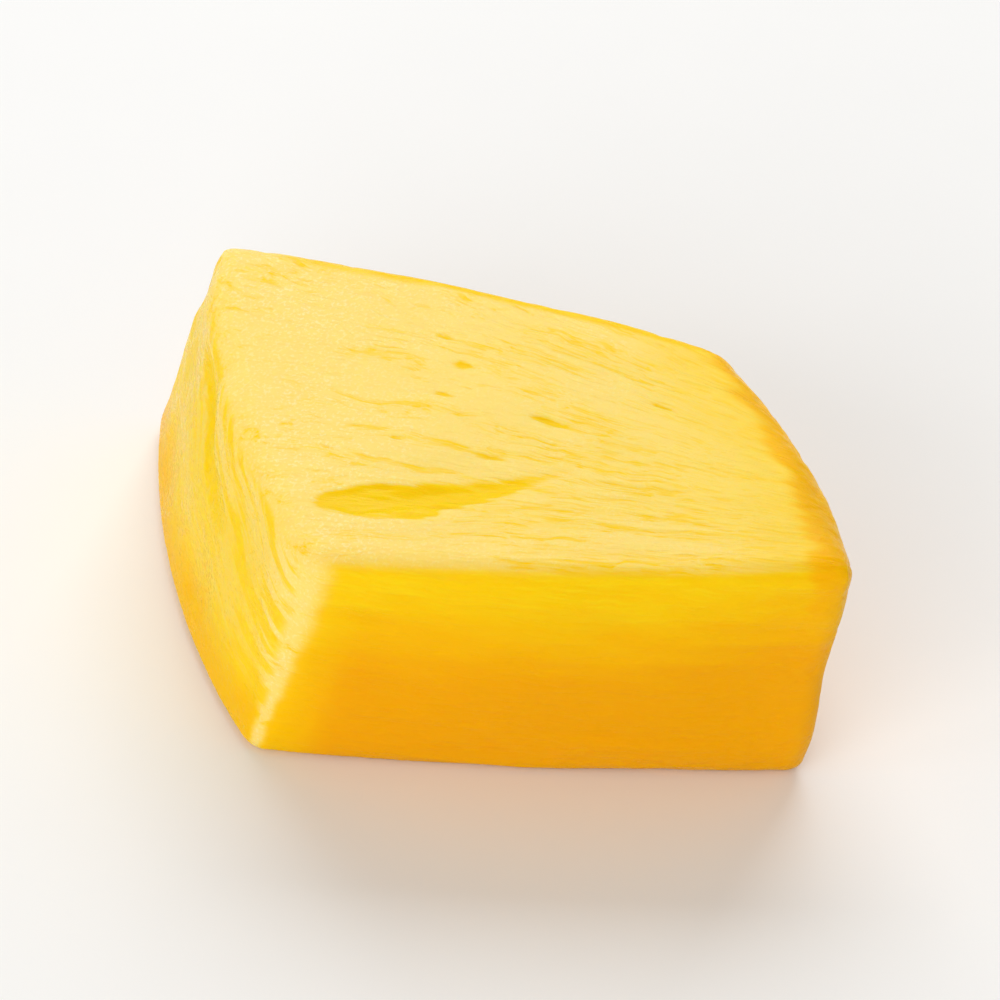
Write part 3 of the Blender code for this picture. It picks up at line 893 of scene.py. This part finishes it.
def paleness(tree, looks, place, out, marks):
    """How pale each place is: as pale as its attribute says, which is the pale of cut fibre with a painted
    highlight where the surface faces up, less the juicy strokes between the fibres and, on the peel side,
    less the rows between the fruitlets.

    The strokes are narrow gaps between fibres. Most of them lie in the juicier strands, nearer the core.
    A noise is about 0.5 in the middle, and each remap picks out its upper or lower part.
    """
    juicy = weighed(tree, (marks["strands"], 1.0), (marks["patches"], 0.35), (marks["raised"], -0.18))
    juicy = math_node(tree, "ADD", juicy, remap(tree, out, *LESS_JUICY, 0.09, -0.08))
    strokes = remap(tree, marks["fibrils"], 0.48, 0.62)
    strokes = math_node(tree, "MULTIPLY", strokes, remap(tree, juicy, 0.50, 0.68))
    thin = remap(tree, marks["hairs"], 0.50, 0.64)
    thin = math_node(tree, "MULTIPLY", thin, remap(tree, juicy, 0.38, 0.60))
    juice = weighed(tree, (strokes, 0.6), (thin, 0.36), (remap(tree, juicy, 0.5, 0.75), 0.2))
    pale = math_node(tree, "MULTIPLY", marks["cut_and_lit"], math_node(tree, "SUBTRACT", 1.0, juice, clamp=True))

    slanting = node(
        tree, "ShaderNodeVectorRotate", {"Vector": place, "Angle": -looks.row_slant}, rotation_type="X_AXIS"
    ).outputs[0]
    scaled = vector_node(tree, "MULTIPLY", slanting, tuple(1.0 / size for size in FRUITLET_ROWS))
    rows = node(tree, "ShaderNodeTexNoise", {"Vector": scaled, "Scale": 1.0, "Detail": ROW_DETAIL}).outputs[0]
    between = remap(tree, rows, 0.56, 0.46)
    between = math_node(tree, "MULTIPLY", between, remap(tree, marks["peel"], 0.6, 1.0))
    return math_node(tree, "MULTIPLY", pale, math_node(tree, "MULTIPLY_ADD", between, -0.95, 1.0))


def flesh_colour(tree, looks, place, out, marks):
    """The colour of the flesh: threads in the juicy flesh, pale flesh and painted highlight with flecks of
    painted glints over it, the dense flesh near the core, then the painted shade, and the slits last."""
    threads = weighed(
        tree,
        (remap(tree, marks["fibrils"], 0.52, 0.32), 0.6),
        (remap(tree, marks["strands"], 0.55, 0.35), 0.4),
    )
    colour_now = mix(tree, threads, looks.flesh, looks.thread)
    # More pale flecks, painted glints, further from the core.
    lighter = remap(tree, out, *MORE_FLECKS, 0.1, 0.65)
    lighter = math_node(tree, "ADD", lighter, remap(tree, marks["patches"], 0.42, 0.58, 0.1, 0.45))
    flecks = math_node(tree, "MULTIPLY", remap(tree, marks["grain"], 0.50, 0.66), lighter)
    pale = paleness(tree, looks, place, out, marks)
    colour_now = mix(tree, pale, colour_now, mix(tree, flecks, looks.pale, looks.fleck))
    near_core = math_node(tree, "MULTIPLY", remap(tree, out, *NEAR_CORE, 0.6, 0.0), marks["cut_and_lit"])
    colour_now = mix(tree, near_core, colour_now, looks.core)
    # Painted shade: deeper orange lower down the sides, along the core side and in the slit of the peel side.
    colour_now = mix(tree, remap(tree, marks["painted_shade"], 0.0, 0.7), colour_now, looks.painted_half_shade)
    colour_now = mix(tree, remap(tree, marks["painted_shade"], 0.6, 1.0), colour_now, looks.painted_deep_shade)
    opened = weighed(tree, (marks["hollow"], 1.0), (marks["fibrils"], 0.5), (marks["hairs"], 0.3))
    return mix(tree, remap(tree, opened, 0.46, 0.85), colour_now, looks.slit)


def flesh_material(settings):
    """Moist flesh: pale where it is freshly cut, with a painted highlight where it faces up, juicy strokes
    between the fibres, and painted shade deeper below.
    """
    looks, flesh = settings.looks, settings.flesh
    material = bpy.data.materials.new("pineapple_flesh")
    material.use_nodes = True
    tree = material.node_tree
    shader = tree.nodes["Principled BSDF"]
    place = node(tree, "ShaderNodeTexCoord").outputs["Object"]
    space = fibre_space(tree, flesh, place)
    _, out, _ = around(tree, place, flesh.axis)
    marks = {key: node(tree, "ShaderNodeAttribute", attribute_name=key).outputs["Fac"] for key in ATTRIBUTES}
    for key, measures in (("strands", STRANDS), ("fibrils", FIBRILS), ("hairs", HAIRS)):
        marks[key] = fibre_noise(tree, space, *measures)
    for key, measures in (("grain", GRAIN), ("patches", PATCHES)):
        marks[key] = noise(tree, place, *measures)
    tree.links.new(flesh_colour(tree, looks, place, out, marks), shader.inputs["Base Color"])

    wetness = weighed(tree, (marks["patches"], 0.4), (marks["grain"], 0.2), (marks["fibrils"], 0.4))
    roughness = remap(tree, wetness, 0.42, 0.60, looks.roughness_high, looks.roughness_low)
    tree.links.new(roughness, shader.inputs["Roughness"])

    weights = (("strands", -0.3), ("fibrils", -0.5), ("hairs", -0.15), ("grain", 0.12))
    bumps = weighed(tree, *((marks[key], weight) for key, weight in weights))
    bump = node(tree, "ShaderNodeBump", {"Height": bumps, "Distance": BUMP_DEPTH, "Strength": 0.8})
    tree.links.new(bump.outputs["Normal"], shader.inputs["Normal"])
    tree.links.new(bump.outputs["Normal"], shader.inputs["Coat Normal"])

    shader.inputs["Subsurface Weight"].default_value = 0.5
    shader.inputs["Subsurface Radius"].default_value = LIGHT_TRAVEL
    shader.inputs["Subsurface Scale"].default_value = TRAVEL_UNIT
    shader.inputs["Specular IOR Level"].default_value = 0.06
    shader.inputs["IOR"].default_value = 1.36
    shader.inputs["Coat Weight"].default_value = 0.1
    shader.inputs["Coat Roughness"].default_value = 0.12
    shader.inputs["Coat IOR"].default_value = 1.33
    return material


class PINEAPPLE_OT_chunk(bpy.types.Operator):
    """Builds the chunk, in place of its plain solid"""

    bl_idname = "pineapple.chunk"
    bl_label = "Build the chunk"

    def execute(self, context):
        settings = context.scene.pineapple
        places, quads, looks = chunk_surface(settings)
        chunk = mesh_object("chunk_flesh", places, quads, looks, flesh_material(settings))
        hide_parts(NODE)
        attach(chunk, BODY)
        return {"FINISHED"}


def floor_material(stage):
    """A pale matt surface, very faintly mottled."""
    material = bpy.data.materials.new("pale_floor")
    material.use_nodes = True
    tree = material.node_tree
    shader = tree.nodes["Principled BSDF"]
    place = node(tree, "ShaderNodeTexCoord").outputs["Object"]
    mottle = noise(tree, place, *MOTTLE)
    darker = tuple(MOTTLE_SHADE * channel for channel in stage.floor)
    tree.links.new(mix(tree, mottle, tuple(stage.floor), darker), shader.inputs["Base Color"])
    shader.inputs["Roughness"].default_value = 0.7
    shader.inputs["Specular IOR Level"].default_value = 0.2
    return material


def add_area_light(name, place, aim, size, power, tint):
    """A soft rectangular light at a place, turned towards aim."""
    data = bpy.data.lights.new(name, "AREA")
    data.shape = "RECTANGLE"
    data.size, data.size_y = size
    data.energy = power
    data.color = tint
    lamp = bpy.data.objects.new(name, data)
    lamp.location = place
    way = np.array(aim) - np.array(place)
    lamp.rotation_euler = pointing(way)
    bpy.context.scene.collection.objects.link(lamp)
    return lamp


def pointing(way):
    """The turn that points an object's -Z along a way, with its +Y upwards: a tilt about X and a bearing."""
    level = math.hypot(way[0], way[1])
    return math.atan2(level, -way[2]), 0.0, math.atan2(-way[0], way[1])


class PINEAPPLE_OT_stage(bpy.types.Operator):
    """Adds the floor, the lights and the camera"""

    bl_idname = "pineapple.stage"
    bl_label = "Set the stage"

    def execute(self, context):
        scene, stage = context.scene, context.scene.pineapple.stage
        half = stage.floor_size / 2
        corners = np.array([(-half, -half, 0.0), (half, -half, 0.0), (half, half, 0.0), (-half, half, 0.0)])
        floor = mesh_object("floor", corners, [(0, 1, 2, 3)], {}, floor_material(stage))

        aim = np.array(stage.aim)
        for name, place, size, power, tint in LIGHTS:
            add_area_light(name, place, aim, size, power, tint)
        world = bpy.data.worlds.new("studio")
        world.use_nodes = True
        background = world.node_tree.nodes["Background"]
        background.inputs["Color"].default_value = (*stage.surroundings, 1.0)
        background.inputs["Strength"].default_value = stage.surroundings_strength
        scene.world = world

        data = bpy.data.cameras.new("camera")
        data.sensor_width = 36.0
        data.lens = data.sensor_width * stage.distance / stage.frame_width
        data.clip_start = 0.01
        data.clip_end = 20.0
        camera = bpy.data.objects.new("camera", data)
        back = np.array((0.0, -math.cos(stage.elevation), math.sin(stage.elevation)))
        camera.location = aim + stage.distance * back
        camera.rotation_euler = pointing(-back)
        scene.collection.objects.link(camera)
        scene.camera = camera
        scene.view_settings.view_transform = "Standard"
        return {"FINISHED"}


class PINEAPPLE_PT_panel(bpy.types.Panel):
    """Lists the operators in the sidebar"""

    bl_label = "Pineapple chunk"
    bl_idname = "PINEAPPLE_PT_panel"
    bl_space_type = "VIEW_3D"
    bl_region_type = "UI"
    bl_category = "Pineapple"

    def draw(self, context):
        settings = context.scene.pineapple
        for name in settings.__annotations__:
            group, box = getattr(settings, name), self.layout.box()
            for key in group.__annotations__:
                box.prop(group, key)
        for operator in OPERATORS:
            self.layout.operator(operator.bl_idname)


OPERATORS = (PINEAPPLE_OT_chunk, PINEAPPLE_OT_stage)
GROUPS = (ChunkCuts, ChunkEdges, ChunkFlesh, ChunkMesh, FleshLooks, StageLooks, ChunkSettings)


def register():
    for kind in (*GROUPS, *OPERATORS, PINEAPPLE_PT_panel):
        bpy.utils.register_class(kind)
    bpy.types.Scene.pineapple = PointerProperty(type=ChunkSettings)


def unregister():
    del bpy.types.Scene.pineapple
    for kind in reversed((*GROUPS, *OPERATORS, PINEAPPLE_PT_panel)):
        bpy.utils.unregister_class(kind)


def main():
    register()
    bpy.ops.pineapple.chunk()
    bpy.ops.pineapple.stage()


if __name__ == "__main__":
    main()
